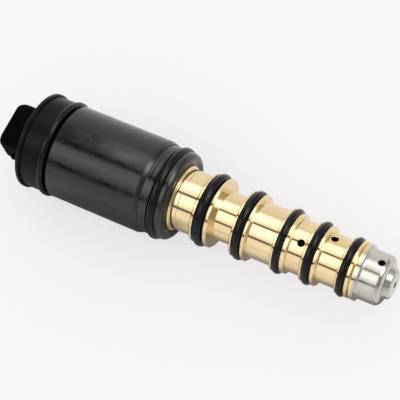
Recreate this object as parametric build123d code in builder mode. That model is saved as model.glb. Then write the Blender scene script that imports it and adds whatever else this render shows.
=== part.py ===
from build123d import *
from collections import namedtuple
from math import cos, radians, sin
import os

# Solenoid control valve for a variable displacement compressor. Millimetres.
# The valve lies along X with its perforated cap towards +X and the locking
# ramp of its connector towards +Z. The origin is the centre of the coil case,
# the cylinder that the compressor's bore holds.

# Clearances, all on the radius or on one face
fit_gap = 0.02
slide_gap = 0.06

# Coil case: a drawn steel tube
case_radius = 12.5
case_length = 25.86
case_wall = 1.5
case_rear_edge = 0.3
case_front_edge = 0.6

# Connector cap: moulded lip, band and seal groove behind the case
cap_groove_width = 3.38
cap_band_drop = 0.55
cap_band_length = 4.9
cap_lip_radius = 13.0
cap_lip_length = 1.3
cap_lip_edge = 0.5
cap_lip_bevel = 0.2
cap_spigot_length = 1.8
rear_cord = 1.95
rear_seal_standout = 0.07

# Connector shroud: a rounded rectangular socket for a two-way plug
shroud_width = 12.8
shroud_height = 11.0
shroud_corner = 2.3
shroud_wall = 1.3
shroud_length = 8.2
shroud_rim_edge = 0.3
shroud_side_round = 3.2
socket_depth = 9.4
ramp_width = 1.8
ramp_length = 5.0
ramp_height = 1.0
ramp_toe = 0.2
key_width = 1.6
key_height = 0.8
key_length = 6.0
key_drop = 2.0

# Terminal blades
blade_width = 1.5
blade_thickness = 0.8
blade_spacing = 5.0
blade_exposed = 4.4
blade_rooted = 3.2
blade_tip = 0.25

# Nose flange: black front piece of the case
nose_spigot_length = 3.8
nose_band_radius = 11.8
nose_band_length = 2.72
nose_groove_width = 2.61
collar_radius = 11.82
collar_length = 2.09
collar_edge_radius = 1.5
dish_depth = 0.6
dish_width = 1.4
front_cord = 2.3
front_seal_standout = 0.7
nose_socket_depth = 6.0

# Coil and magnet circuit
pole_plate_thickness = 2.0
bobbin_flange = 1.0
bobbin_wall = 0.85
bobbin_rim_gap = 0.2
winding_depth = 4.8
tube_bore_radius = 4.6
tube_wall = 0.3
tube_bottom = 0.4
tube_reach = 1.0
core_length = 12.5
core_flange_thickness = 2.0
air_gap = 1.5
rod_radius = 1.1
rod_seat_depth = 4.0

# Valve sleeve: turned brass with five sealing lands
entry_radius = 8.8
entry_reach = 0.35
entry_chamfer = 0.3
rear_chamber_radius = 5.0
rear_chamber_depth = 9.0
bore_radius = 3.0
land_chamfer = 0.22
score_offset = 1.95
score_width = 0.16
score_depth = 0.06

# Each land follows a slimmer neck. Its seal sits in a groove cut into it and
# stands a little above it. The third land steps down in front of its groove.
neck_1_radius = 8.14
neck_1_length = 6.37
land_1_radius = 9.2
land_1_length = 4.84
groove_1_start = 0.76
groove_1_width = 3.24
cord_1 = 2.75
standout_1 = 0.6
neck_2_radius = 6.54
neck_2_length = 6.18
land_2_radius = 8.8
land_2_length = 4.01
groove_2_start = 0.65
groove_2_width = 2.63
cord_2 = 2.3
standout_2 = 0.46
neck_3_radius = 7.43
neck_3_length = 7.06
land_3_radius = 8.33
land_3_length = 3.75
groove_3_start = 0.69
groove_3_width = 1.95
cord_3 = 1.6
standout_3 = 0.36
land_3_front_radius = 7.85
neck_4_radius = 6.98
neck_4_length = 4.02
land_4_radius = 7.87
land_4_length = 4.02
groove_4_start = 0.72
groove_4_width = 2.45
cord_4 = 2.0
standout_4 = 0.54
neck_5_radius = 6.55
neck_5_length = 5.4
land_5_radius = 7.42
land_5_length = 3.45
groove_5_start = 0.55
groove_5_width = 2.11
cord_5 = 1.7
standout_5 = 0.43

Land = namedtuple(
    "Land",
    "neck_radius neck_length radius length groove_start groove_width cord standout front_radius",
)
lands = [
    Land(
        neck_1_radius, neck_1_length, land_1_radius, land_1_length,
        groove_1_start, groove_1_width, cord_1, standout_1, land_1_radius,
    ),
    Land(
        neck_2_radius, neck_2_length, land_2_radius, land_2_length,
        groove_2_start, groove_2_width, cord_2, standout_2, land_2_radius,
    ),
    Land(
        neck_3_radius, neck_3_length, land_3_radius, land_3_length,
        groove_3_start, groove_3_width, cord_3, standout_3, land_3_front_radius,
    ),
    Land(
        neck_4_radius, neck_4_length, land_4_radius, land_4_length,
        groove_4_start, groove_4_width, cord_4, standout_4, land_4_radius,
    ),
    Land(
        neck_5_radius, neck_5_length, land_5_radius, land_5_length,
        groove_5_start, groove_5_width, cord_5, standout_5, land_5_radius,
    ),
]
stop_groove_width = 0.45
stop_groove_depth = 1.1
stop_ring_radius = 7.4
stop_ring_length = 0.75
stop_edge = 0.08
tail_radius = 6.1
tail_length = 2.55

# Radial ports of the sleeve, one in the fourth neck and one in the fifth
port_radius = 0.97
port_a_from_land = 1.38
port_a_angle = 11.4
port_b_from_land = 1.48
port_b_angle = -30.0

# Spring chamber at the front of the sleeve, closed by a drilled seat
chamber_radius = 4.2
chamber_depth = 8.5
seat_length = 1.8
seat_hole_radius = 1.2
spring_radius = 3.3
spring_wire = 0.6
spring_coils = 5

# Spool
spool_neck_radius = 1.7
spool_rear_land = 7.0
spool_rod_depth = 3.0
spool_mid_land = 4.8
spool_front_land = 4.4
spool_collar_radius = 3.9
spool_collar_length = 1.0
spool_collar_gap = 0.1
spool_guide_radius = 2.5
spool_guide_length = 1.4

# End cap: drawn stainless steel, flared at its mouth and drilled
cap_wall = 0.45
cap_flare_radius = 7.4
cap_flare_length = 0.55
cap_flare_fillet = 0.55
cap_body_length = 6.8
cap_shoulder_radius = 1.6
cap_dome_radius = 4.35
cap_dome_top_radius = 3.7
cap_dome_height = 1.7
cap_dome_edge = 1.0
cap_side_hole_radius = 0.95
cap_side_hole_inset = 2.25
cap_side_hole_angle = -17.0
cap_tip_hole_radius = 0.85

# Stations along X, counted out from the coil case both ways
x_case_rear = -case_length / 2
x_case_front = case_length / 2
x_cap_band = x_case_rear - cap_groove_width
x_cap_lip = x_cap_band - cap_band_length
x_cap_rear = x_cap_lip - cap_lip_length
x_shroud_rim = x_cap_rear - shroud_length
x_socket_floor = x_shroud_rim + socket_depth
x_pole_plate = x_case_rear + cap_spigot_length
x_bobbin = x_pole_plate + pole_plate_thickness
x_nose_rear = x_case_front - nose_spigot_length
x_nose_groove = x_case_front + nose_band_length
x_collar = x_nose_groove + nose_groove_width
x_face = x_collar + collar_length
x_nose_seat = x_face - nose_socket_depth
x_sleeve_rear = x_nose_seat + core_flange_thickness
x_tube_bottom = x_pole_plate - tube_reach
x_core_face = x_nose_seat - core_length
x_plunger_rear = x_tube_bottom + tube_bottom
x_plunger_front = x_core_face - air_gap

# Radii that follow from the mating pieces
case_bore_radius = case_radius - case_wall
spigot_radius = case_bore_radius - fit_gap
tube_radius = tube_bore_radius + tube_wall
socket_bore_radius = entry_radius + fit_gap
cap_band_radius = cap_lip_radius - cap_band_drop
rear_seal_radius = cap_lip_radius + rear_seal_standout
front_seal_radius = nose_band_radius + front_seal_standout
land_radius_of_spool = bore_radius - slide_gap
cap_bore_radius = tail_radius + fit_gap
cap_radius = cap_bore_radius + cap_wall
stop_groove_radius = stop_ring_radius - stop_groove_depth


def land_stations():
    """Rear face of each land, counted from the nose face."""
    stations = []
    x = x_face
    for land in lands:
        x += land.neck_length
        stations.append(x)
        x += land.length
    return stations


x_lands = land_stations()
x_stop_groove = x_lands[-1] + lands[-1].length
x_stop_ring = x_stop_groove + stop_groove_width
x_tail = x_stop_ring + stop_ring_length
x_sleeve_front = x_tail + tail_length
x_bore = x_sleeve_rear + rear_chamber_depth
x_chamber = x_sleeve_front - chamber_depth
x_seat = x_sleeve_front - seat_length
x_port_a = x_lands[3] - port_a_from_land
x_port_b = x_lands[3] + lands[3].length + port_b_from_land
x_cap_shoulder = x_tail + cap_body_length
x_tip = x_cap_shoulder + cap_dome_height


def groove_floor(seal_radius, cord):
    """Radius of the groove floor that a seal ring of this cord sits on."""
    return seal_radius - cord - fit_gap


def seal_radius(land):
    """Outer radius of the seal ring of a land."""
    return land.radius + land.standout


def sleeve_outline():
    """Outer profile of the valve sleeve from its rear face to its tail."""
    first_neck = lands[0].neck_radius
    x_score = x_face + score_offset
    outline = [
        (x_sleeve_rear, entry_radius),
        (x_face + entry_reach - entry_chamfer, entry_radius),
        (x_face + entry_reach, entry_radius - entry_chamfer),
        (x_face + entry_reach, first_neck),
        (x_score - score_width / 2, first_neck),
        (x_score, first_neck - score_depth),
        (x_score + score_width / 2, first_neck),
    ]
    for land, x in zip(lands, x_lands):
        floor = groove_floor(seal_radius(land), land.cord)
        front_edge = stop_edge if land is lands[-1] else land_chamfer
        x_groove = x + land.groove_start
        x_groove_end = x_groove + land.groove_width
        x_end = x + land.length
        outline += [(x, land.neck_radius), (x, land.radius - land_chamfer)]
        outline += [(x + land_chamfer, land.radius), (x_groove, land.radius)]
        outline += [(x_groove, floor), (x_groove_end, floor), (x_groove_end, land.front_radius)]
        outline += [(x_end - front_edge, land.front_radius), (x_end, land.front_radius - front_edge)]
        if land is not lands[-1]:
            next_land = lands[lands.index(land) + 1]
            outline.append((x_end, next_land.neck_radius))
    outline += [
        (x_stop_groove, stop_groove_radius),
        (x_stop_ring, stop_groove_radius),
        (x_stop_ring, stop_ring_radius - stop_edge),
        (x_stop_ring + stop_edge, stop_ring_radius),
        (x_tail, stop_ring_radius),
        (x_tail, tail_radius),
        (x_sleeve_front, tail_radius),
    ]
    return outline


def radial_plane(x, angle):
    """Plane through the axis point at x, facing outwards at this angle from +Z."""
    tilt = radians(angle)
    return Plane(origin=(x, 0, 0), x_dir=(1, 0, 0), z_dir=(0, -sin(tilt), cos(tilt)))


# Connector cap: turned body, square shroud, socket, terminal slots and tube recess
with BuildPart() as connector_cap:
    neck_radius = groove_floor(rear_seal_radius, rear_cord)
    with BuildSketch(Plane.XY):
        with BuildLine():
            Polyline(
                (x_cap_rear, 0),
                (x_cap_rear, cap_lip_radius),
                (x_cap_lip - cap_lip_bevel, cap_lip_radius),
                (x_cap_lip, cap_lip_radius - cap_lip_bevel),
                (x_cap_lip, cap_band_radius),
                (x_cap_band, cap_band_radius),
                (x_cap_band, neck_radius),
                (x_case_rear, neck_radius),
                (x_case_rear, spigot_radius),
                (x_pole_plate, spigot_radius),
                (x_pole_plate, 0),
                close=True,
            )
        make_face()
    revolve(axis=Axis.X)
    fillet(edges().filter_by(GeomType.CIRCLE).group_by(SortBy.RADIUS)[-1].sort_by(Axis.X)[0], cap_lip_edge)
    # The shroud reaches back from the lip
    with BuildSketch(Plane.YZ.offset(x_shroud_rim)):
        RectangleRounded(shroud_width, shroud_height, shroud_corner)
    extrude(amount=shroud_length)
    fillet(faces().sort_by(Axis.X)[0].edges(), shroud_rim_edge)
    # One side of the rim is rounded in plan, so that the plug can be tilted in
    with BuildSketch(Plane.XY.offset(-shroud_height)):
        with BuildLine():
            corner_x = x_shroud_rim + shroud_side_round
            corner_y = shroud_width / 2 - shroud_side_round
            RadiusArc((x_shroud_rim, corner_y), (corner_x, shroud_width / 2), shroud_side_round)
            Polyline(
                (corner_x, shroud_width / 2),
                (corner_x, shroud_width),
                (x_shroud_rim - shroud_side_round, shroud_width),
                (x_shroud_rim - shroud_side_round, corner_y),
                (x_shroud_rim, corner_y),
            )
        make_face()
    extrude(amount=2 * shroud_height, mode=Mode.SUBTRACT)
    # The locking ramp rises from the rim side towards the lip
    with BuildSketch(Plane.XZ.offset(-ramp_width / 2)):
        with BuildLine():
            Polyline(
                (x_cap_rear, shroud_height / 2 - ramp_toe),
                (x_cap_rear - ramp_length, shroud_height / 2 - ramp_toe),
                (x_cap_rear - ramp_length, shroud_height / 2 + ramp_toe),
                (x_cap_rear - ramp_length / 2, shroud_height / 2 + ramp_height),
                (x_cap_rear, shroud_height / 2 + ramp_height),
                close=True,
            )
        make_face()
    extrude(amount=ramp_width)
    # A key rib on one side admits the plug one way round only
    with BuildSketch(Plane.YZ.offset(x_cap_rear - key_length)):
        with Locations((-shroud_width / 2, -key_drop)):
            Rectangle(2 * key_height, key_width)
    extrude(amount=key_length)
    # The socket
    with BuildSketch(Plane.YZ.offset(x_shroud_rim)):
        RectangleRounded(
            shroud_width - 2 * shroud_wall,
            shroud_height - 2 * shroud_wall,
            shroud_corner - shroud_wall,
        )
    extrude(amount=socket_depth, mode=Mode.SUBTRACT)
    # Slots that hold the terminal blades
    with BuildSketch(Plane.YZ.offset(x_socket_floor)):
        with GridLocations(blade_spacing, 0, 2, 1):
            Rectangle(blade_width, blade_thickness)
    extrude(amount=blade_rooted, mode=Mode.SUBTRACT)
    # Recess for the closed end of the guide tube
    with BuildSketch(Plane.YZ.offset(x_tube_bottom)):
        Circle(tube_radius + fit_gap)
    extrude(amount=tube_reach, mode=Mode.SUBTRACT)

# Terminal blades with pointed tips
with BuildPart() as terminal_blades:
    with BuildSketch(Plane.YZ.offset(x_socket_floor - blade_exposed)):
        with GridLocations(blade_spacing, 0, 2, 1):
            Rectangle(blade_width, blade_thickness)
    extrude(amount=blade_exposed + blade_rooted)
    chamfer(faces().group_by(Axis.X)[0].edges().filter_by(Axis.Y), blade_tip)

# Rear seal ring, against the cap's band in the groove between cap and case
with BuildPart() as rear_seal:
    with BuildSketch(Plane.XY):
        with Locations((x_cap_band + fit_gap + rear_cord / 2, rear_seal_radius - rear_cord / 2)):
            Circle(rear_cord / 2)
    revolve(axis=Axis.X)

# Coil case
with BuildPart() as coil_case:
    with BuildSketch(Plane.YZ.offset(x_case_rear)):
        Circle(case_radius)
        Circle(case_bore_radius, mode=Mode.SUBTRACT)
    extrude(amount=case_length)
    rims = edges().filter_by(GeomType.CIRCLE).group_by(SortBy.RADIUS)[-1]
    fillet(rims.sort_by(Axis.X)[-1], case_front_edge)
    fillet(rims.sort_by(Axis.X)[0], case_rear_edge)

# Pole plate between the cap and the bobbin
with BuildPart() as pole_plate:
    with BuildSketch(Plane.YZ.offset(x_pole_plate)):
        Circle(spigot_radius)
        Circle(tube_radius + fit_gap, mode=Mode.SUBTRACT)
    extrude(amount=pole_plate_thickness)

# Bobbin
bobbin_bore_radius = tube_radius + fit_gap
bobbin_drum_radius = bobbin_bore_radius + bobbin_wall
bobbin_rim_radius = case_bore_radius - bobbin_rim_gap
with BuildPart() as bobbin:
    with BuildSketch(Plane.XY):
        with BuildLine():
            Polyline(
                (x_bobbin, bobbin_bore_radius),
                (x_bobbin, bobbin_rim_radius),
                (x_bobbin + bobbin_flange, bobbin_rim_radius),
                (x_bobbin + bobbin_flange, bobbin_drum_radius),
                (x_nose_rear - bobbin_flange, bobbin_drum_radius),
                (x_nose_rear - bobbin_flange, bobbin_rim_radius),
                (x_nose_rear, bobbin_rim_radius),
                (x_nose_rear, bobbin_bore_radius),
                close=True,
            )
        make_face()
    revolve(axis=Axis.X)

# Winding between the bobbin's flanges
with BuildPart() as coil_winding:
    with BuildSketch(Plane.YZ.offset(x_bobbin + bobbin_flange)):
        Circle(bobbin_drum_radius + winding_depth)
        Circle(bobbin_drum_radius + fit_gap, mode=Mode.SUBTRACT)
    extrude(amount=x_nose_rear - x_bobbin - 2 * bobbin_flange)

# Guide tube, closed at the rear
with BuildPart() as guide_tube:
    with BuildSketch(Plane.YZ.offset(x_tube_bottom)):
        Circle(tube_radius)
    extrude(amount=x_nose_seat - x_tube_bottom)
    with BuildSketch(Plane.YZ.offset(x_plunger_rear)):
        Circle(tube_bore_radius)
    extrude(amount=x_nose_seat - x_plunger_rear, mode=Mode.SUBTRACT)

# Fixed core in the front of the tube, held by its flange
with BuildPart() as fixed_core:
    with BuildSketch(Plane.XY):
        with BuildLine():
            Polyline(
                (x_core_face, rod_radius + slide_gap),
                (x_core_face, tube_bore_radius - fit_gap),
                (x_nose_seat, tube_bore_radius - fit_gap),
                (x_nose_seat, entry_radius),
                (x_sleeve_rear, entry_radius),
                (x_sleeve_rear, rod_radius + slide_gap),
                close=True,
            )
        make_face()
    revolve(axis=Axis.X)

# Nose flange: spigot, band, seal groove and rounded collar around the sleeve
with BuildPart() as nose_flange:
    groove_radius = groove_floor(front_seal_radius, front_cord)
    with BuildSketch(Plane.XY):
        with BuildLine():
            Polyline(
                (x_nose_rear, tube_radius + fit_gap),
                (x_nose_rear, spigot_radius),
                (x_case_front, spigot_radius),
                (x_case_front, nose_band_radius),
                (x_nose_groove - land_chamfer, nose_band_radius),
                (x_nose_groove, nose_band_radius - land_chamfer),
                (x_nose_groove, groove_radius),
                (x_collar, groove_radius),
                (x_collar, collar_radius),
                (x_face, collar_radius),
                (x_face, socket_bore_radius + dish_width),
                (x_face - dish_depth, socket_bore_radius),
                (x_nose_seat, socket_bore_radius),
                (x_nose_seat, tube_radius + fit_gap),
                close=True,
            )
        make_face()
    revolve(axis=Axis.X)
    fillet(edges().filter_by(GeomType.CIRCLE).group_by(SortBy.RADIUS)[-1].sort_by(Axis.X)[-1], collar_edge_radius)

# Front seal ring of the nose flange
with BuildPart() as front_seal:
    with BuildSketch(Plane.XY):
        with Locations(((x_nose_groove + x_collar) / 2, front_seal_radius - front_cord / 2)):
            Circle(front_cord / 2)
    revolve(axis=Axis.X)

# Valve sleeve: turned outside, stepped bore and two radial ports
with BuildPart() as valve_sleeve:
    with BuildSketch(Plane.XY):
        with BuildLine():
            Polyline(
                *sleeve_outline(),
                (x_sleeve_front, chamber_radius),
                (x_chamber, chamber_radius),
                (x_chamber, bore_radius),
                (x_bore, bore_radius),
                (x_bore, rear_chamber_radius),
                (x_sleeve_rear, rear_chamber_radius),
                close=True,
            )
        make_face()
    revolve(axis=Axis.X)
    for x_port, port_angle in ((x_port_a, port_a_angle), (x_port_b, port_b_angle)):
        with BuildSketch(radial_plane(x_port, port_angle)):
            Circle(port_radius)
        extrude(amount=land_4_radius, mode=Mode.SUBTRACT)

# Seal rings of the sleeve's five lands, each against the rear wall of its groove
sleeve_seals = []
for number, (land, x_land) in enumerate(zip(lands, x_lands), start=1):
    with BuildPart() as sleeve_seal:
        x_seal = x_land + land.groove_start + fit_gap + land.cord / 2
        with BuildSketch(Plane.XY):
            with Locations((x_seal, seal_radius(land) - land.cord / 2)):
                Circle(land.cord / 2)
        revolve(axis=Axis.X)
    sleeve_seals.append((f"sleeve_seal_{number}", sleeve_seal))

# Drilled seat that closes the spring chamber
with BuildPart() as spring_seat:
    with BuildSketch(Plane.YZ.offset(x_seat)):
        Circle(chamber_radius - fit_gap)
        Circle(seat_hole_radius, mode=Mode.SUBTRACT)
    extrude(amount=seat_length)

# End cap: one drawn wall with a flared mouth, a shoulder and a domed tip
with BuildPart() as end_cap:
    with BuildSketch(Plane.XY) as cap_profile:
        with BuildLine():
            Polyline(
                (x_tail, 0),
                (x_tail, cap_flare_radius),
                (x_tail + cap_flare_length, cap_flare_radius),
                (x_tail + cap_flare_length, cap_radius),
                (x_cap_shoulder, cap_radius),
                (x_cap_shoulder, cap_dome_radius),
                (x_tip, cap_dome_top_radius),
                (x_tip, 0),
                close=True,
            )
        make_face()
        flare_root = vertices().group_by(Axis.X)[1].sort_by(Axis.Y)[0]
        fillet(flare_root, cap_flare_fillet)
        shoulder = vertices().group_by(Axis.X)[-2].sort_by(Axis.Y)[-1]
        fillet(shoulder, cap_shoulder_radius)
        dome_edge = vertices().group_by(Axis.X)[-1].sort_by(Axis.Y)[-1]
        fillet(dome_edge, cap_dome_edge)
    revolve(axis=Axis.X)
    # The hollow keeps the wall even from the mouth to the tip
    with BuildSketch(Plane.XY):
        with BuildLine():
            Polyline(
                (x_tail, 0),
                (x_tail, cap_bore_radius),
                (x_cap_shoulder - cap_wall, cap_bore_radius),
                (x_cap_shoulder - cap_wall, cap_dome_radius - cap_wall),
                (x_tip - cap_wall, cap_dome_top_radius - cap_wall),
                (x_tip - cap_wall, 0),
                close=True,
            )
        make_face()
        inner_shoulder = vertices().group_by(Axis.X)[-2].sort_by(Axis.Y)[-1]
        fillet(inner_shoulder, cap_shoulder_radius - cap_wall)
    revolve(axis=Axis.X, mode=Mode.SUBTRACT)
    with BuildSketch(Plane.YZ.offset(x_tip - cap_dome_height)):
        Circle(cap_tip_hole_radius)
    extrude(amount=2 * cap_dome_height, mode=Mode.SUBTRACT)
    with BuildSketch(radial_plane(x_cap_shoulder - cap_side_hole_inset, cap_side_hole_angle)):
        Circle(cap_side_hole_radius)
    extrude(amount=2 * cap_radius, mode=Mode.SUBTRACT)

# Plunger, drilled for the rod
with BuildPart() as plunger:
    with BuildSketch(Plane.YZ.offset(x_plunger_rear)):
        Circle(tube_bore_radius - slide_gap)
    extrude(amount=x_plunger_front - x_plunger_rear)
    with BuildSketch(Plane.YZ.offset(x_plunger_front - rod_seat_depth)):
        Circle(rod_radius + fit_gap)
    extrude(amount=rod_seat_depth, mode=Mode.SUBTRACT)

# Rod from the plunger to the spool
x_spool_rear = x_bore + fit_gap
with BuildPart() as push_rod:
    with BuildSketch(Plane.YZ.offset(x_plunger_front - rod_seat_depth)):
        Circle(rod_radius)
    extrude(amount=x_spool_rear + spool_rod_depth - x_plunger_front + rod_seat_depth)

# Spool: three lands on a slim neck and a collar that carries the spring
x_collar_rear = x_chamber + spool_collar_gap
x_collar_front = x_collar_rear + spool_collar_length
x_guide_front = x_collar_front + spool_guide_length
with BuildPart() as spool:
    mid_start = x_port_a - spool_mid_land / 2
    mid_end = x_port_a + spool_mid_land / 2
    front_start = x_collar_rear - spool_front_land
    with BuildSketch(Plane.XY):
        with BuildLine():
            Polyline(
                (x_spool_rear, 0),
                (x_spool_rear, land_radius_of_spool),
                (x_spool_rear + spool_rear_land, land_radius_of_spool),
                (x_spool_rear + spool_rear_land, spool_neck_radius),
                (mid_start, spool_neck_radius),
                (mid_start, land_radius_of_spool),
                (mid_end, land_radius_of_spool),
                (mid_end, spool_neck_radius),
                (front_start, spool_neck_radius),
                (front_start, land_radius_of_spool),
                (x_collar_rear, land_radius_of_spool),
                (x_collar_rear, spool_collar_radius),
                (x_collar_front, spool_collar_radius),
                (x_collar_front, spool_guide_radius),
                (x_guide_front, spool_guide_radius),
                (x_guide_front, 0),
                close=True,
            )
        make_face()
    revolve(axis=Axis.X)
    with BuildSketch(Plane.YZ.offset(x_spool_rear)):
        Circle(rod_radius + fit_gap)
    extrude(amount=spool_rod_depth, mode=Mode.SUBTRACT)

# Return spring between the spool's collar and the drilled seat
spring_span = x_seat - x_collar_front - spring_wire
with BuildPart() as return_spring:
    with BuildLine():
        coil_path = Helix(
            pitch=spring_span / spring_coils,
            height=spring_span,
            radius=spring_radius,
            center=(x_collar_front + spring_wire / 2, 0, 0),
            direction=(1, 0, 0),
        )
    with BuildSketch(Plane(origin=coil_path @ 0, z_dir=coil_path % 0)):
        Circle(spring_wire / 2)
    sweep(is_frenet=True)

pieces = [
    ("connector_cap", connector_cap),
    ("terminal_blades", terminal_blades),
    ("rear_seal", rear_seal),
    ("coil_case", coil_case),
    ("pole_plate", pole_plate),
    ("bobbin", bobbin),
    ("coil_winding", coil_winding),
    ("guide_tube", guide_tube),
    ("fixed_core", fixed_core),
    ("nose_flange", nose_flange),
    ("front_seal", front_seal),
    ("valve_sleeve", valve_sleeve),
    *sleeve_seals,
    ("spring_seat", spring_seat),
    ("end_cap", end_cap),
    ("plunger", plunger),
    ("push_rod", push_rod),
    ("spool", spool),
    ("return_spring", return_spring),
]

os.makedirs("parts", exist_ok=True)
for name, piece in pieces:
    piece.part.label = name
    export_step(piece.part, f"parts/{name}.step")
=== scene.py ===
import math

import bmesh
import bpy
from bpy.props import FloatProperty, PointerProperty, StringProperty
from mathutils import Matrix, Vector


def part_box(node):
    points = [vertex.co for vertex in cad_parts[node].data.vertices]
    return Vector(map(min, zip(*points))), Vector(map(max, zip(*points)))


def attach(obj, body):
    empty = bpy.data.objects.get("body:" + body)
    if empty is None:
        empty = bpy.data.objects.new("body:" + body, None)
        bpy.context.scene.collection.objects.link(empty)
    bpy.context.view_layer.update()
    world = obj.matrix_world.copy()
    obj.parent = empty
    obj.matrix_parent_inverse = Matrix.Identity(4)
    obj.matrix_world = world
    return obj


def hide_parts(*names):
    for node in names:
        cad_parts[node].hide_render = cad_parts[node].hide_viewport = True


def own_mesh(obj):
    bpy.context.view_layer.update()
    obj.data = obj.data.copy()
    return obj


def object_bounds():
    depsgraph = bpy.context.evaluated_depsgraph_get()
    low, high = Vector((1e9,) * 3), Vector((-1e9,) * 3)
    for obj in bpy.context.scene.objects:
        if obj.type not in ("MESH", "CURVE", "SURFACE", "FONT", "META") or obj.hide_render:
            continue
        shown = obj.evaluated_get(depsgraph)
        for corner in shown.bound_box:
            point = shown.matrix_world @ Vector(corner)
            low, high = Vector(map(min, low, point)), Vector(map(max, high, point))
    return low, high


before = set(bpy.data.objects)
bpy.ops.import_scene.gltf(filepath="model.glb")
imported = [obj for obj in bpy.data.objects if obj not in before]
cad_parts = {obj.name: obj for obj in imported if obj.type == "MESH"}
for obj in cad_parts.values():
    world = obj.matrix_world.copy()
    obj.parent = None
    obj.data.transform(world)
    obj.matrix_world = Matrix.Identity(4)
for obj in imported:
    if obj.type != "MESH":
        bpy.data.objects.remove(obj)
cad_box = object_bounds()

bl_info = {
    "name": "Compressor Control Valve",
    "version": (1, 0, 0),
    "blender": (4, 5, 0),
    "location": "3D View > Sidebar > Valve",
    "description": "Finishes and lights a solenoid control valve for a refrigerant compressor",
    "category": "Object",
}

# Lengths are in metres, unless a comment says millimetres
MM = 0.001

# Coil case: its front rim is rolled down over the nose flange's band
CASE_WALL = 1.5 * MM
CASE_REAR_EDGE = 0.15 * MM
CASE_REAR_REACH = 0.5 * MM
RIM_START = 0.75 * MM
RIM_REACH = 0.42 * MM
RIM_SLOPE = math.radians(18.5)
RIM_EDGE = 0.12 * MM
RIM_SHOULDER = 4 * RIM_EDGE

# Band of the nose flange, from the rim to the seal groove, with its turned ridges
BAND_RADIUS = 11.8 * MM
BAND_END = 15.65 * MM
BAND_STANDOUT = 0.06 * MM
BAND_EDGE = 0.2 * MM
BAND_RIDGE = 0.035 * MM
BAND_RIDGES = 2
BAND_STEPS = 24

# Plug shroud of the connector cap. Its faces are told from the cap's by their
# place, and at its root by how squarely they face along the axis. They take a
# darker, less shiny copy of the cap's polyamide: painted shade.
SHROUD_LENGTH = 8.2 * MM
SHROUD_INSET = 0.2 * MM
ROOT_TOLERANCE = 0.01 * MM
FACING_AXIS = 0.9

# Meshes of turned pieces
LATHE_TURNS = 240
ARC_STEPS = 6
SHARP_ANGLE = math.radians(32.0)

# The case's coat was wiped at a slant while wet
WIPE_TURN = math.radians(28)
WIPE_STRETCH = (0.35, 1.0, 1.0)


def linear(hex_colour):
    """Turn an sRGB hex colour into linear RGBA."""
    parts = [int(hex_colour[i:i + 2], 16) / 255 for i in (1, 3, 5)]
    return tuple(c / 12.92 if c <= 0.04045 else ((c + 0.055) / 1.055) ** 2.4 for c in parts) + (1.0,)


def add(tree, kind, props=None, inputs=None):
    """Add a node, set its properties, and set or link each of its inputs."""
    node = tree.nodes.new(kind)
    for name, value in (props or {}).items():
        setattr(node, name, value)
    for name, value in (inputs or {}).items():
        if isinstance(value, bpy.types.NodeSocket):
            tree.links.new(value, node.inputs[name])
        else:
            node.inputs[name].default_value = value
    return node


# Sizes and colours that a user would change

class ValveFinish(bpy.types.PropertyGroup):
    brass_colour: StringProperty(
        name="Brass", description="Colour of the turned sleeve", default="#F3DCB0")
    coat_colour: StringProperty(
        name="Case coat", description="Colour of the black coat on the coil case",
        default="#1E1A14")
    turning_pitch: FloatProperty(
        name="Turning pitch", description="Spacing of the tool marks on the sleeve",
        default=0.32 * MM, min=0.05 * MM, unit="LENGTH")
    eased_edge: FloatProperty(
        name="Eased edge", description="Radius to which the brass edges look worn",
        default=0.12 * MM, min=0, unit="LENGTH")
    coat_mottle: FloatProperty(
        name="Coat mottle", description="Size of the cloudy patches in the case's coat",
        default=2.2 * MM, min=0.2 * MM, unit="LENGTH")


class ValveStage(bpy.types.PropertyGroup):
    camera_distance: FloatProperty(
        name="Camera distance",
        description="From the camera to the point on the axis that it looks at",
        default=400.0 * MM, min=0.1, unit="LENGTH")
    lens: FloatProperty(
        name="Lens", description="Focal length on a 36 mm wide sensor",
        default=141.7, min=20, subtype="DISTANCE_CAMERA")
    floor_white: FloatProperty(
        name="Floor white", description="Share of light that the paper floor sends back",
        default=0.93, min=0, max=1, subtype="FACTOR")
    floor_lift: FloatProperty(
        name="Floor lift", description="How far the floor is lifted to pure white",
        default=0.62, min=0, max=1, subtype="FACTOR")


# Parts of a finish

def new_material(name):
    """A new material and its empty node tree."""
    material = bpy.data.materials.new(name)
    material.use_nodes = True
    material.node_tree.nodes.clear()
    return material, material.node_tree


def shell(tree, shader):
    """Send a surface shader to the material's output."""
    add(tree, "ShaderNodeOutputMaterial", inputs={"Surface": shader.outputs[0]})


def object_place(tree):
    """The place on a piece, in the piece's own frame."""
    return add(tree, "ShaderNodeTexCoord").outputs["Object"]


def cloud(tree, place, size, detail=3.0, rough=0.55):
    """A soft noise whose patches are about as large as size."""
    node = add(tree, "ShaderNodeTexNoise", inputs={
        "Vector": place, "Scale": 1.0 / size, "Detail": detail, "Roughness": rough})
    return node.outputs["Fac"]


def spread(tree, value, low, high, start=0.3, end=0.7):
    """Map a noise value from start..end to low..high."""
    node = add(tree, "ShaderNodeMapRange", inputs={
        "Value": value, "From Min": start, "From Max": end, "To Min": low, "To Max": high})
    return node.outputs["Result"]


def mixed(tree, factor, first, second):
    """The first colour at factor 0 and the second at factor 1."""
    node = add(tree, "ShaderNodeMix", {"data_type": "RGBA"}, {0: factor, 6: first, 7: second})
    return node.outputs[2]


def turning_rings(tree, place, pitch):
    """Uneven rings about the X axis, as a lathe tool leaves them."""
    along = add(tree, "ShaderNodeSeparateXYZ", inputs={0: place}).outputs["X"]
    node = add(tree, "ShaderNodeTexNoise", {"noise_dimensions": "1D"}, {
        "W": along, "Scale": 1.0 / pitch, "Detail": 2.0, "Roughness": 0.6})
    return node.outputs["Fac"]


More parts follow.
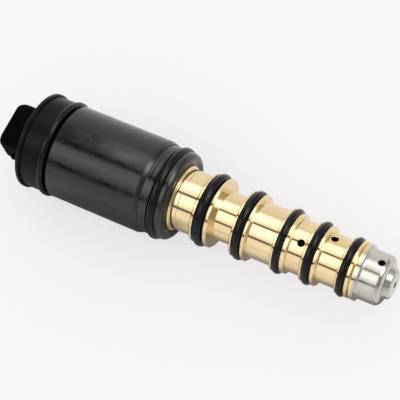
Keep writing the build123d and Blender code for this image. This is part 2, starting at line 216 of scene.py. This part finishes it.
def relief(tree, height, depth, strength=1.0, over=None):
    """The normal of a surface with this relief, over another normal where one is given."""
    inputs = {"Strength": strength, "Distance": depth, "Height": height}
    if over is not None:
        inputs["Normal"] = over
    return add(tree, "ShaderNodeBump", inputs=inputs).outputs[0]


# Finishes

def turned_brass(look):
    """Free-cutting brass, turned and left bright: mirror lines round the axis, faint tool rings."""
    material, tree = new_material("Turned brass")
    place = object_place(tree)
    rings = turning_rings(tree, place, pitch=look.turning_pitch)
    tarnish = cloud(tree, place, size=5 * MM)
    eased = add(tree, "ShaderNodeBevel", {"samples": 6}, {"Radius": look.eased_edge}).outputs[0]
    shader = add(tree, "ShaderNodeBsdfPrincipled", inputs={
        "Base Color": mixed(tree, spread(tree, tarnish, low=0.0, high=1.0),
                            linear("#EAD0A0"), linear(look.brass_colour)),
        "Metallic": 1.0, "Roughness": spread(tree, tarnish, low=0.05, high=0.10),
        "Normal": relief(tree, rings, depth=0.02 * MM, strength=0.10, over=eased)})
    shell(tree, shader)
    return material


def drawn_stainless():
    """Deep-drawn stainless steel: pale grey, brushed faintly round the cup."""
    material, tree = new_material("Drawn stainless steel")
    place = object_place(tree)
    rings = turning_rings(tree, place, pitch=0.5 * MM)
    haze = cloud(tree, place, size=3 * MM)
    shader = add(tree, "ShaderNodeBsdfPrincipled", inputs={
        "Base Color": mixed(tree, spread(tree, haze, low=0.0, high=1.0),
                            linear("#C2BCB1"), linear("#D0CBC1")),
        "Metallic": 1.0, "Roughness": spread(tree, haze, low=0.12, high=0.19),
        "Normal": relief(tree, rings, depth=0.02 * MM, strength=0.08)})
    shell(tree, shader)
    return material


def black_coated_steel(look):
    """Steel with a thin black coat: satin and cloudy, with the soft boxes seen dimly in it."""
    material, tree = new_material("Black coated steel")
    place = object_place(tree)
    patches = cloud(tree, place, size=look.coat_mottle, detail=4.0)
    slanted = add(tree, "ShaderNodeMapping", inputs={
        "Vector": place, "Rotation": (0, 0, WIPE_TURN), "Scale": WIPE_STRETCH}).outputs[0]
    waves = cloud(tree, slanted, size=look.coat_mottle, detail=5.0, rough=0.62)
    wiped = cloud(tree, slanted, size=0.6 * look.coat_mottle, detail=2.0)
    shader = add(tree, "ShaderNodeBsdfPrincipled", inputs={
        "Base Color": mixed(tree, spread(tree, patches, low=0.0, high=1.0),
                            linear("#100D09"), linear(look.coat_colour)),
        "Metallic": 0.0, "IOR": 1.53,
        "Roughness": spread(tree, wiped, low=0.09, high=0.23, start=0.35, end=0.65),
        "Normal": relief(tree, waves, depth=0.032 * MM)})
    shell(tree, shader)
    return material


def black_turned_steel(look):
    """The nose flange: turned before it was coated, so fine ridges still show in the black."""
    material, tree = new_material("Black coated turned steel")
    place = object_place(tree)
    patches = cloud(tree, place, size=look.coat_mottle, detail=4.0)
    ridges = turning_rings(tree, place, pitch=0.9 * MM)
    shader = add(tree, "ShaderNodeBsdfPrincipled", inputs={
        "Base Color": mixed(tree, spread(tree, patches, low=0.0, high=1.0),
                            linear("#0D0B08"), linear("#16130F")),
        "Metallic": 0.0, "IOR": 1.6, "Roughness": spread(tree, patches, low=0.12, high=0.2),
        "Normal": relief(tree, ridges, depth=0.05 * MM)})
    shell(tree, shader)
    return material


def moulded_polyamide():
    """Glass-filled polyamide, moulded in an eroded tool: matt black with a fine grain."""
    material, tree = new_material("Moulded polyamide")
    place = object_place(tree)
    grain = cloud(tree, place, size=0.25 * MM, detail=2.0)
    shader = add(tree, "ShaderNodeBsdfPrincipled", inputs={
        "Base Color": mixed(tree, cloud(tree, place, size=4 * MM), linear("#060606"), linear("#0C0C0B")),
        "IOR": 1.5, "Roughness": spread(tree, grain, low=0.28, high=0.38), "Specular IOR Level": 0.14,
        "Normal": relief(tree, grain, depth=0.03 * MM, strength=0.25)})
    shell(tree, shader)
    return material


def shroud_painted_shade_polyamide():
    """The plug shroud's polyamide: the cap's made nearly pure black and less shiny, as painted shade on
    the shroud, with a slightly coarser grain.
    """
    material, tree = new_material("Polyamide with painted shade")
    place = object_place(tree)
    grain = cloud(tree, place, size=0.3 * MM, detail=2.0)
    shader = add(tree, "ShaderNodeBsdfPrincipled", inputs={
        "Base Color": mixed(tree, cloud(tree, place, size=3 * MM), linear("#020202"), linear("#050505")),
        "IOR": 1.5, "Roughness": spread(tree, grain, low=0.45, high=0.6), "Specular IOR Level": 0.03,
        "Normal": relief(tree, grain, depth=0.04 * MM, strength=0.3)})
    shell(tree, shader)
    return material


def seal_rubber():
    """Nitrile rubber, compression moulded: dull black with a soft sheen where the light strikes."""
    material, tree = new_material("Nitrile rubber")
    bloom = cloud(tree, object_place(tree), size=1.2 * MM)
    shader = add(tree, "ShaderNodeBsdfPrincipled", inputs={
        "Base Color": mixed(tree, bloom, linear("#040304"), linear("#080709")),
        "IOR": 1.5, "Specular IOR Level": 0.27, "Roughness": spread(tree, bloom, low=0.14, high=0.26)})
    shell(tree, shader)
    return material


def port_shade_steel():
    """Hardened steel of the sliding spool, coloured near black as painted shade, so that the ports look
    black over it.
    """
    material, tree = new_material("Steel with painted port shade")
    rings = turning_rings(tree, object_place(tree), pitch=0.3 * MM)
    shader = add(tree, "ShaderNodeBsdfPrincipled", inputs={
        "Base Color": mixed(tree, rings, linear("#060505"), linear("#0D0C0B")),
        "IOR": 1.5, "Specular IOR Level": 0.2, "Roughness": spread(tree, rings, low=0.4, high=0.6)})
    shell(tree, shader)
    return material


def machined_steel():
    """Machined low-carbon steel of the inner pieces: grey with tool rings."""
    material, tree = new_material("Machined steel")
    rings = turning_rings(tree, object_place(tree), pitch=0.3 * MM)
    shader = add(tree, "ShaderNodeBsdfPrincipled", inputs={
        "Base Color": mixed(tree, rings, linear("#8D8A86"), linear("#A7A4A0")),
        "Metallic": 1.0, "Roughness": 0.3,
        "Normal": relief(tree, rings, depth=0.02 * MM, strength=0.1)})
    shell(tree, shader)
    return material


def enamelled_copper():
    """Enamelled copper wire, wound in close turns: reddish and glossy, ribbed by its turns."""
    material, tree = new_material("Enamelled copper wire")
    turns = turning_rings(tree, object_place(tree), pitch=0.4 * MM)
    shader = add(tree, "ShaderNodeBsdfPrincipled", inputs={
        "Base Color": mixed(tree, turns, linear("#8A4A22"), linear("#B8703A")),
        "Metallic": 1.0, "Roughness": 0.32,
        "Normal": relief(tree, turns, depth=0.1 * MM, strength=0.4)})
    shell(tree, shader)
    return material


def tinned_blade():
    """Tinned copper alloy of the terminal blades: pale, slightly cloudy metal."""
    material, tree = new_material("Tinned copper alloy")
    haze = cloud(tree, object_place(tree), size=0.8 * MM)
    shader = add(tree, "ShaderNodeBsdfPrincipled", inputs={
        "Base Color": mixed(tree, haze, linear("#B9B6AE"), linear("#CFCCC4")),
        "Metallic": 1.0, "Roughness": spread(tree, haze, low=0.25, high=0.4)})
    shell(tree, shader)
    return material


def finish(node, material):
    """Give a node of the frame its finish."""
    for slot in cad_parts[node].material_slots:
        slot.material = material


# Shapes

def rounded(points, corner, radius):
    """Replace one corner of an outline by an arc of this radius."""
    before, at, after = (Vector(points[(corner + k) % len(points)]) for k in (-1, 0, 1))
    back, ahead = (before - at).normalized(), (after - at).normalized()
    half = back.angle(ahead) / 2
    reach = radius / math.tan(half)
    centre = at + (back + ahead).normalized() * radius / math.sin(half)
    start, end = at + back * reach - centre, at + ahead * reach - centre
    sweep = start.angle_signed(end)
    arc = []
    for step in range(ARC_STEPS + 1):
        turn = -sweep * step / ARC_STEPS
        arc.append((centre.x + start.x * math.cos(turn) - start.y * math.sin(turn),
                    centre.y + start.x * math.sin(turn) + start.y * math.cos(turn)))
    return points[:corner] + arc + points[corner + 1:]


def lathe(name, outline, material):
    """A housing piece turned about the X axis from a closed outline of (x, radius) points."""
    shape = bmesh.new()
    rings = []
    for turn in range(LATHE_TURNS):
        angle = 2 * math.pi * turn / LATHE_TURNS
        rings.append([shape.verts.new((x, r * math.sin(angle), r * math.cos(angle))) for x, r in outline])
    for turn in range(LATHE_TURNS):
        first, second = rings[turn], rings[(turn + 1) % LATHE_TURNS]
        for k in range(len(outline)):
            following = (k + 1) % len(outline)
            shape.faces.new((first[k], first[following], second[following], second[k]))
    bmesh.ops.recalc_face_normals(shape, faces=shape.faces)
    mesh = bpy.data.meshes.new(name)
    shape.to_mesh(mesh)
    shape.free()
    mesh.polygons.foreach_set("use_smooth", [True] * len(mesh.polygons))
    mesh.set_sharp_from_angle(angle=SHARP_ANGLE)
    mesh.materials.append(material)
    piece = bpy.data.objects.new(name, mesh)
    bpy.context.scene.collection.objects.link(piece)
    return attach(piece, "housing")


def twin(node, name, materials):
    """A new piece with the mesh of a CAD node, which it stands for, in these materials."""
    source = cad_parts[node]
    mesh = source.data.copy()
    mesh.materials.clear()
    for material in materials:
        mesh.materials.append(material)
    piece = bpy.data.objects.new(name, mesh)
    bpy.context.scene.collection.objects.link(piece)
    piece.matrix_world = source.matrix_world
    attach(piece, "housing")
    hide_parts(node)
    return piece


def case_outline(rear, front, radius, end):
    """Outline of the case's wall, with its rim rolled down to end."""
    drop = (RIM_START + RIM_REACH) * math.tan(RIM_SLOPE)
    band = BAND_RADIUS + BAND_STANDOUT
    bore = radius - CASE_WALL
    outline = [
        (rear, bore), (rear, radius), (front - RIM_START, radius), (end, radius - drop),
        (end, band), (front, band), (front, bore),
    ]
    outline = rounded(outline, 3, RIM_EDGE)
    outline = rounded(outline, 2, RIM_SHOULDER)
    return rounded(outline, 1, CASE_REAR_EDGE)


def band_outline(start):
    """Outline of the band from the rim to the seal groove, waved by its ridges."""
    outline = [(start, BAND_RADIUS), (BAND_END, BAND_RADIUS)]
    for step in range(BAND_STEPS + 1):
        share = 1 - step / BAND_STEPS
        ridge = BAND_RIDGE * (1 - math.cos(2 * math.pi * BAND_RIDGES * share))
        outline.append((start + (BAND_END - start) * share, BAND_RADIUS + BAND_STANDOUT - ridge))
    return rounded(outline, 2, BAND_EDGE)


# Pieces

class VALVE_OT_sleeve(bpy.types.Operator):
    """Finish the turned brass sleeve and its spring seat"""
    bl_idname = "valve.sleeve"
    bl_label = "Brass sleeve"

    def execute(self, context):
        brass = turned_brass(context.scene.valve_finish)
        finish("valve_sleeve", brass)
        finish("spring_seat", brass)
        return {"FINISHED"}


class VALVE_OT_case(bpy.types.Operator):
    """Turn the coil case with its rolled rim, and finish it and the nose flange"""
    bl_idname = "valve.case"
    bl_label = "Coil case"

    def execute(self, context):
        look = context.scene.valve_finish
        rear, front = (corner.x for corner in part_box("coil_case"))
        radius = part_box("coil_case")[1].z
        end = front + RIM_REACH
        outline = case_outline(rear - CASE_REAR_REACH, front, radius, end)
        case = lathe("Coil_case_rolled", outline, black_coated_steel(look))
        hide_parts("coil_case")
        coat = black_turned_steel(look)
        finish("nose_flange", coat)
        band = lathe("Nose_band", band_outline(end), coat)
        return {"FINISHED"}


class VALVE_OT_connector(bpy.types.Operator):
    """Finish the moulded connector cap and its terminal blades"""
    bl_idname = "valve.connector"
    bl_label = "Connector"

    def execute(self, context):
        # the shroud's faces take the second material, a copy of the cap's with painted shade
        cap = twin("connector_cap", "Connector_cap_moulded",
                   (moulded_polyamide(), shroud_painted_shade_polyamide()))
        mesh, place = cap.data, cap.matrix_world
        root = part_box("connector_cap")[0].x + SHROUD_LENGTH
        for face in mesh.polygons:
            behind = all((place @ mesh.vertices[k].co).x < root + ROOT_TOLERANCE for k in face.vertices)
            side = behind and abs(face.normal.x) < FACING_AXIS
            face.material_index = int(side or (place @ face.center).x < root - SHROUD_INSET)
        finish("terminal_blades", tinned_blade())
        return {"FINISHED"}


class VALVE_OT_seals(bpy.types.Operator):
    """Finish the rubber seal rings"""
    bl_idname = "valve.seals"
    bl_label = "Seal rings"

    def execute(self, context):
        rubber = seal_rubber()
        for node in sorted(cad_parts):
            if "seal" in node:
                finish(node, rubber)
        return {"FINISHED"}


class VALVE_OT_end_cap(bpy.types.Operator):
    """Finish the drawn end cap"""
    bl_idname = "valve.end_cap"
    bl_label = "End cap"

    def execute(self, context):
        finish("end_cap", drawn_stainless())
        return {"FINISHED"}


class VALVE_OT_works(bpy.types.Operator):
    """Finish the coil, the magnet circuit and the moving pieces inside"""
    bl_idname = "valve.works"
    bl_label = "Inner pieces"

    def execute(self, context):
        steel = machined_steel()
        for node in ("pole_plate", "guide_tube", "fixed_core", "plunger"):
            finish(node, steel)
        # the spring stands on its seat; it gets a mesh of its own
        spring = twin("return_spring", "Return_spring_wound", (steel,))
        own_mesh(spring)
        # spool and push rod: near-black steel, painted shade seen through the ports
        black = port_shade_steel()
        finish("push_rod", black)
        finish("spool", black)
        finish("bobbin", moulded_polyamide())
        finish("coil_winding", enamelled_copper())
        return {"FINISHED"}


# Camera. Its sensor is in millimetres.

CAMERA_TILT = math.radians(18.48)
CAMERA_SLOPE = math.radians(22.3)
CAMERA_TURN = math.radians(18.0)
SENSOR_WIDTH = 36.0
LOOK_AT = Vector((25.15 * MM, 0, 0))
LOOK_SHIFT = 1.27 * MM
NEAREST_SEEN = 0.01
FARTHEST_SEEN = 20.0

# Floor and room
FLOOR_HALF = 3.0
FLOOR_SEGMENTS = 8
FLOOR_DROP = 0.05 * MM
ROOM_SOFT_LIGHT = 0.1

# Brightness of the light tent, by the angle in degrees from straight up
# towards +Y. Two soft boxes stand beside the valve, with dark gaps at their edges.
TENT_BEHIND = (
    (-100, 0.85), (-78, 0.90), (-66, 0.60), (-61, 0.06), (-55.5, 0.06), (-52, 0.80), (-40, 1.25),
    (-28, 1.90), (-14, 1.45), (-9, 0.90), (-5, 0.08), (1, 0.08), (10, 0.30), (36, 0.40),
    (60, 0.85), (100, 0.90),
)
TENT_CASE = (
    (-100, 0.85), (-78, 0.95), (-69, 0.75), (-64, 0.30), (-61, 0.06), (-55.5, 0.06), (-52.5, 0.55),
    (-46, 1.00), (-40, 1.25), (-33, 1.65), (-27, 1.90), (-20, 1.55), (-12.5, 1.50), (-9, 1.00),
    (-5, 0.08), (1.5, 0.05), (5, 0.50), (10, 1.35), (17, 2.10), (25, 2.60), (33, 2.45),
    (42, 1.65), (51, 1.20), (60, 0.98), (100, 0.90),
)
TENT_SLEEVE = (
    (-100, 0.90), (-85, 1.02), (-67, 1.02), (-62.5, 0.75), (-60.3, 0.07), (-55.6, 0.07), (-53, 0.85),
    (-46, 1.20), (-28, 1.90), (-14, 1.70), (-8, 1.30), (-6, 0.70), (-4.4, 0.07), (-0.4, 0.07),
    (1.6, 0.75), (4, 1.10), (12, 1.30), (22, 1.75), (31, 2.00), (41, 1.60), (47, 1.20),
    (51, 0.82), (58, 0.84), (72, 0.92), (100, 0.88),
)
TENT_PLAIN = ((-100, 0.90), (100, 0.90))
# Ahead of the valve only reflections see the tent: it holds a lamp there, and
# beside the lamp its open front shows the dim room.
FRONT_NEAR = (
    (-100, 0.62), (-85, 0.66), (-72, 0.74), (-62, 0.56), (-52, 0.38), (-35, 0.42), (-18, 0.34),
    (-8, 0.36), (-2, 0.80), (4, 2.00), (12, 3.80), (20, 4.90), (28, 4.40), (35, 2.40), (41, 0.80),
    (58, 0.55), (100, 0.40),
)
FRONT_FAR = (
    (-100, 0.60), (-72, 0.45), (-60, 0.30), (-10, 0.30), (10, 0.60), (40, 0.70), (100, 0.75),
)
# Each length of the tent: where it starts along the valve's axis, half the
# length of its fade there, both in metres, and its brightness
TENT_LENGTHS = (
    (None, None, TENT_BEHIND), (-1.39, 0.03, TENT_CASE), (-1.12, 0.04, TENT_SLEEVE),
    (-0.28, 0.25, TENT_PLAIN),
)
FRONT_LENGTHS = ((None, None, TENT_SLEEVE), (0.35, 0.22, FRONT_NEAR), (2.8, 0.4, FRONT_FAR))
TENT_STATIONS = (-6.0, -2.0, 1.0, 5.0, 9.0)
FRONT_STATIONS = (-0.53, 1.0, 5.0, 9.0)
TENT_RADIUS = 3.0
FRONT_RADIUS = 2.9
ARCH_STEPS = 80
# Colour ramps hold brightness as a share of this
PEAK = 5.0

# Brightness of the shade card, painted shade of the table seen only in reflections,
# by the place towards the near side in mm, under the case and under the rest
SHADE_CASE = ((0, 0.08), (14, 0.14), (21, 0.24), (35, 0.52), (80, 0.72), (300, 0.88))
SHADE_SLEEVE = ((0, 0.20), (14, 0.36), (20, 0.58), (26, 0.76), (46, 0.90), (300, 0.96))
SHADE_REAR_FADE = 24 * MM
SHADE_FRONT_FADE = 8 * MM
SHADE_BEGIN = -400 * MM
SHADE_END = 83 * MM
SHADE_DROP = 0.03 * MM


def cross_direction(angle):
    """A unit vector across the valve's axis, by its angle from straight up towards +Y."""
    return Vector((0, math.sin(angle), math.cos(angle)))


def profile_ramp(tree, place, profile):
    """A brightness profile as a colour ramp over an angle in degrees or a length in mm."""
    low, high = profile[0][0], profile[-1][0]
    share = add(tree, "ShaderNodeMapRange", inputs={"Value": place, "From Min": low, "From Max": high})
    ramp = add(tree, "ShaderNodeValToRGB", inputs={"Fac": share.outputs[0]})
    stops = ramp.color_ramp.elements
    for number, (at, level) in enumerate(profile):
        position = (at - low) / (high - low)
        stop = stops[number] if number < 2 else stops.new(position)
        stop.position = position
        stop.color = (level / PEAK,) * 3 + (1,)
    return ramp.outputs[0]


def fade_along(tree, along, start, end):
    """0 before start and 1 after end, by the place along the valve's axis."""
    return add(tree, "ShaderNodeMapRange", {"interpolation_type": "SMOOTHSTEP"}, {
        "Value": along, "From Min": start, "From Max": end}).outputs[0]


def glow(tree, colour):
    """Light of the brightness that a profile ramp gives."""
    return add(tree, "ShaderNodeEmission", inputs={"Color": colour, "Strength": PEAK})


def tent_light(tree, lengths):
    """Light of the tent: one brightness profile for each length of it, faded into the next."""
    place = add(tree, "ShaderNodeSeparateXYZ", inputs={0: object_place(tree)}).outputs
    angle = add(tree, "ShaderNodeMath", {"operation": "ARCTAN2"}, {0: place["Y"], 1: place["Z"]})
    angle = add(tree, "ShaderNodeMath", {"operation": "DEGREES"}, {0: angle.outputs[0]}).outputs[0]
    colour = profile_ramp(tree, angle, lengths[0][-1])
    for start, fade, profile in lengths[1:]:
        share = fade_along(tree, place["X"], start - fade, start + fade)
        colour = mixed(tree, share, colour, profile_ramp(tree, angle, profile))
    return glow(tree, colour)


def sheet_of(name, rows, material):
    """A stage sheet through rows of points, all of the same length."""
    mesh = bpy.data.meshes.new(name)
    shape = bmesh.new()
    grid = [[shape.verts.new(point) for point in row] for row in rows]
    for first, second in zip(grid, grid[1:]):
        for a, b, c, d in zip(first, first[1:], second[1:], second):
            shape.faces.new((a, b, c, d))
    shape.to_mesh(mesh)
    shape.free()
    mesh.materials.append(material)
    piece = bpy.data.objects.new(name, mesh)
    bpy.context.scene.collection.objects.link(piece)
    return piece


def arch(name, lengths, radius, stations):
    """A long arch of tent cloth over the valve, through these stations along its axis."""
    skin, tree = new_material(name.replace("_", " "))
    shell(tree, tent_light(tree, lengths))
    low, high = TENT_SLEEVE[0][0], TENT_SLEEVE[-1][0]
    rows = []
    for step in range(ARCH_STEPS + 1):
        angle = math.radians(low + (high - low) * step / ARCH_STEPS)
        rows.append([cross_direction(angle) * radius + Vector((x, 0, 0)) for x in stations])
    piece = sheet_of(name, rows, skin)
    piece.visible_camera = False
    piece.visible_shadow = False
    return piece


def shade_card(height):
    """A glowing card on the table under the valve's near side, seen only in reflections: painted shade,
    darker below the case.
    """
    skin, tree = new_material("Shade card")
    place = add(tree, "ShaderNodeSeparateXYZ", inputs={0: object_place(tree)}).outputs
    near = add(tree, "ShaderNodeMath", {"operation": "DIVIDE"}, {0: place["Y"], 1: -MM}).outputs[0]
    colour = profile_ramp(tree, near, SHADE_SLEEVE)
    rear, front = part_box("coil_case")[0].x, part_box("nose_flange")[1].x
    for end, fade, profile in (
        (rear, SHADE_REAR_FADE, SHADE_CASE),
        (front, SHADE_FRONT_FADE, SHADE_SLEEVE),
    ):
        share = fade_along(tree, place["X"], end - fade, end)
        colour = mixed(tree, share, colour, profile_ramp(tree, near, profile))
    shell(tree, glow(tree, colour))
    reach = SHADE_CASE[-1][0] * MM
    rows = [[Vector((x, -y, height)) for x in (SHADE_BEGIN, SHADE_END)] for y in (0.0, reach)]
    card = sheet_of("Shade_card", rows, skin)
    card.visible_camera = False
    card.visible_diffuse = False
    card.visible_transmission = False
    card.visible_shadow = False


def seen_rays(tree):
    """1 for camera, glossy and transmission rays, 0 for the rays that carry soft light."""
    ray = add(tree, "ShaderNodeLightPath").outputs
    seen = add(tree, "ShaderNodeMath", {"operation": "MAXIMUM"}, {
        0: ray["Is Camera Ray"], 1: ray["Is Glossy Ray"]})
    return add(tree, "ShaderNodeMath", {"operation": "MAXIMUM"}, {
        0: seen.outputs[0], 1: ray["Is Transmission Ray"]}).outputs[0]


def make_camera(scene, stage):
    """The photograph's camera: it looks across the valve, turned towards its near side."""
    data = bpy.data.cameras.new("Camera")
    data.sensor_width = SENSOR_WIDTH
    data.lens = stage.lens
    data.clip_start = NEAREST_SEEN
    data.clip_end = FARTHEST_SEEN
    camera = bpy.data.objects.new("Camera", data)
    scene.collection.objects.link(camera)
    along = Vector((1, 0, 0))
    near = cross_direction(-CAMERA_TURN)
    above = cross_direction(math.pi / 2 - CAMERA_TURN)
    tilt, slope = CAMERA_TILT, CAMERA_SLOPE
    right = (along * math.cos(tilt) * math.cos(slope) - near * math.sin(tilt) * math.cos(slope)
             + above * math.sin(slope))
    down = (along * math.cos(tilt) * math.sin(slope) - near * math.sin(tilt) * math.sin(slope)
            - above * math.cos(slope))
    forward = -along * math.sin(tilt) - near * math.cos(tilt)
    place = LOOK_AT - down * LOOK_SHIFT - forward * stage.camera_distance
    turn = Matrix((right, -down, -forward)).transposed()
    camera.matrix_world = Matrix.Translation(place) @ turn.to_4x4()
    scene.camera = camera


def make_room(scene):
    """A white room to the camera and to reflections, which gives little light of its own."""
    world = bpy.data.worlds.new("Room")
    scene.world = world
    world.use_nodes = True
    tree = world.node_tree
    tree.nodes.clear()
    soft = add(tree, "ShaderNodeBackground", inputs={"Color": (1, 1, 1, 1), "Strength": ROOM_SOFT_LIGHT})
    white = add(tree, "ShaderNodeBackground", inputs={"Color": (1, 1, 1, 1), "Strength": 1.0})
    both = add(tree, "ShaderNodeMixShader", inputs={
        0: seen_rays(tree), 1: soft.outputs[0], 2: white.outputs[0]})
    add(tree, "ShaderNodeOutputWorld", inputs={"Surface": both.outputs[0]})


def make_floor(scene, stage):
    """A white paper floor that keeps the valve's shadow, lifted towards pure white."""
    mesh = bpy.data.meshes.new("Floor")
    shape = bmesh.new()
    bmesh.ops.create_grid(shape, x_segments=FLOOR_SEGMENTS, y_segments=FLOOR_SEGMENTS, size=FLOOR_HALF)
    shape.to_mesh(mesh)
    shape.free()
    floor = bpy.data.objects.new("Floor", mesh)
    scene.collection.objects.link(floor)
    floor.location = (0, 0, cad_box[0].z - FLOOR_DROP)
    paper, tree = new_material("White paper")
    matt = add(tree, "ShaderNodeBsdfDiffuse", inputs={"Color": (stage.floor_white,) * 3 + (1,)})
    white = add(tree, "ShaderNodeEmission", inputs={"Color": (1, 1, 1, 1), "Strength": 1.0})
    lift = add(tree, "ShaderNodeMath", {"operation": "MULTIPLY"}, {
        0: seen_rays(tree), 1: stage.floor_lift})
    shell(tree, add(tree, "ShaderNodeMixShader", inputs={
        0: lift.outputs[0], 1: matt.outputs[0], 2: white.outputs[0]}))
    mesh.materials.append(paper)


class VALVE_OT_stage(bpy.types.Operator):
    """Make the floor, the lights, the room and the camera"""
    bl_idname = "valve.stage"
    bl_label = "Stage"

    def execute(self, context):
        scene = context.scene
        stage = scene.valve_stage
        make_camera(scene, stage)
        make_room(scene)
        make_floor(scene, stage)
        shade_card(cad_box[0].z - SHADE_DROP)
        arch("Light_tent", TENT_LENGTHS, TENT_RADIUS, TENT_STATIONS)
        front = arch("Tent_front", FRONT_LENGTHS, FRONT_RADIUS, FRONT_STATIONS)
        front.visible_diffuse = False
        scene.view_settings.view_transform = "Standard"
        return {"FINISHED"}


STEPS = (
    VALVE_OT_stage,
    VALVE_OT_sleeve,
    VALVE_OT_case,
    VALVE_OT_connector,
    VALVE_OT_seals,
    VALVE_OT_end_cap,
    VALVE_OT_works,
)


class VALVE_PT_panel(bpy.types.Panel):
    """Lists the valve's pieces and settings"""
    bl_idname = "VALVE_PT_panel"
    bl_label = "Compressor control valve"
    bl_space_type = "VIEW_3D"
    bl_region_type = "UI"
    bl_category = "Valve"

    def draw(self, context):
        column = self.layout.column()
        for step in STEPS:
            column.operator(step.bl_idname)
        for group in (context.scene.valve_finish, context.scene.valve_stage):
            for name in group.bl_rna.properties.keys():
                if name not in ("rna_type", "name"):
                    column.prop(group, name)


CLASSES = (ValveFinish, ValveStage) + STEPS + (VALVE_PT_panel,)


def register():
    """Add the panel, the steps and the settings to Blender."""
    for cls in CLASSES:
        bpy.utils.register_class(cls)
    bpy.types.Scene.valve_finish = PointerProperty(type=ValveFinish)
    bpy.types.Scene.valve_stage = PointerProperty(type=ValveStage)


def unregister():
    """Take them out of Blender again."""
    del bpy.types.Scene.valve_stage
    del bpy.types.Scene.valve_finish
    for cls in reversed(CLASSES):
        bpy.utils.unregister_class(cls)


def main():
    """Make the stage and every piece."""
    register()
    for step in STEPS:
        module, name = step.bl_idname.split(".")
        getattr(getattr(bpy.ops, module), name)()


if __name__ == "__main__":
    main()
